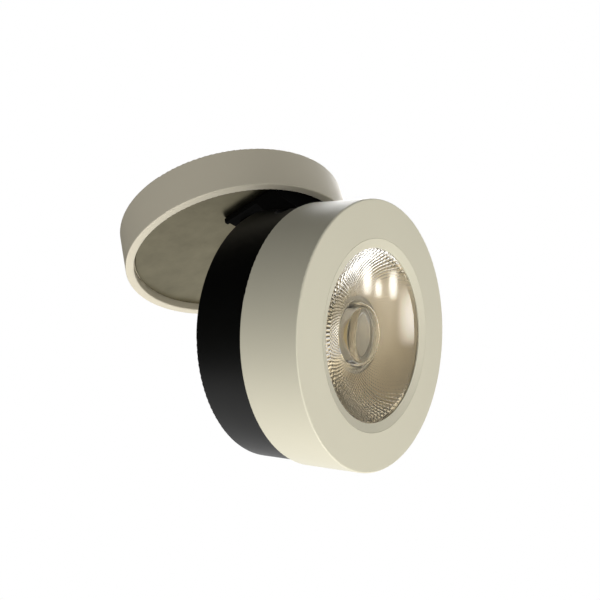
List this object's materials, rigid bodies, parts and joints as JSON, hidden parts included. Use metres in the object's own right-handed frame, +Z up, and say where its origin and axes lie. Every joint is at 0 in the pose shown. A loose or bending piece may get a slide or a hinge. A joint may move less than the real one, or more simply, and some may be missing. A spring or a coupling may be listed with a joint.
{
  "type": "surface mounted ceiling spotlight",
  "caption": "Foldable round ceiling spotlight: low canopy, swivelling steel turntable and a tilting black and white drum head with a clear collimating lens.",
  "frame": {"origin": "centre of the canopy's ceiling face, midway between the fixing bar's two slotted holes", "axes": "+Z up into the ceiling, +X towards the side on which the head is hinged at rest, +Y along the fixing bar"},
  "size_m": [0.1261, 0.1034, 0.1296],
  "materials": {
    "white_paint": "satin warm-white powder coat on aluminium",
    "black_paint": "satin black powder coat on aluminium",
    "black_steel": "satin black coat on folded steel",
    "plate_steel": "bare cold-rolled steel, zinc-plated, dull",
    "zinc_steel": "bright zinc plate",
    "spring_steel": "hardened and oiled",
    "black_rubber": "matt",
    "silicone": "matt grey silicone",
    "nylon": "natural nylon",
    "circuit_board": "solder mask",
    "ferrite": "ferrite with taped winding",
    "capacitor_sleeve": "shrink sleeve",
    "film": "amber polyimide film",
    "bare_aluminium": "turned",
    "phosphor": "cast silicone with phosphor",
    "holder_plastic": "moulded",
    "clear_acrylic": "polished clear acrylic"
  },
  "bodies": {
    "canopy": {"canopy_shell": "white_paint", "mounting_bar": "zinc_steel", "cable_grommet": "black_rubber", "canopy_screw": "zinc_steel", "terminal_block": "nylon", "terminal_screws": "zinc_steel", "block_fixing_screw": "zinc_steel", "stop_pin": "zinc_steel", "glide_washer": "nylon", "upper_washer": "nylon"},
    "turntable": {"turntable_plate": "plate_steel", "swivel_shaft": "zinc_steel", "stop_washer": "zinc_steel", "swivel_spring": "spring_steel", "swivel_nut": "zinc_steel", "hinge_bracket": "black_steel", "bracket_rivets": "black_steel"},
    "head": {"rear_housing": "black_paint", "hinge_pin": "spring_steel", "hinge_springs": "spring_steel", "lead_grommet": "black_rubber", "driver_board": "circuit_board", "driver_transformer": "ferrite", "driver_capacitors": "capacitor_sleeve", "driver_choke": "ferrite", "board_screws": "zinc_steel", "insulating_film": "film", "heat_spreader": "bare_aluminium", "spreader_screws": "zinc_steel", "thermal_pad": "silicone", "led_board": "bare_aluminium", "led_phosphor": "phosphor", "led_holder": "holder_plastic", "holder_screws": "zinc_steel", "lens": "clear_acrylic", "lens_cup": "holder_plastic", "lens_gasket": "silicone", "lens_ring": "white_paint", "front_housing": "white_paint"}
  },
  "joints": [
    {"name": "pan", "type": "hinge", "parent": "canopy", "child": "turntable", "pos_m": [0, 0, -0.0155], "axis": [0, 0, 1], "range_deg": [-175, 175]},
    {"name": "tilt", "type": "hinge", "parent": "turntable", "child": "head", "pos_m": [0.0411, 0, -0.0318], "axis": [0, -1, 0], "range_deg": [-61.9, 28.1]}
  ]
}
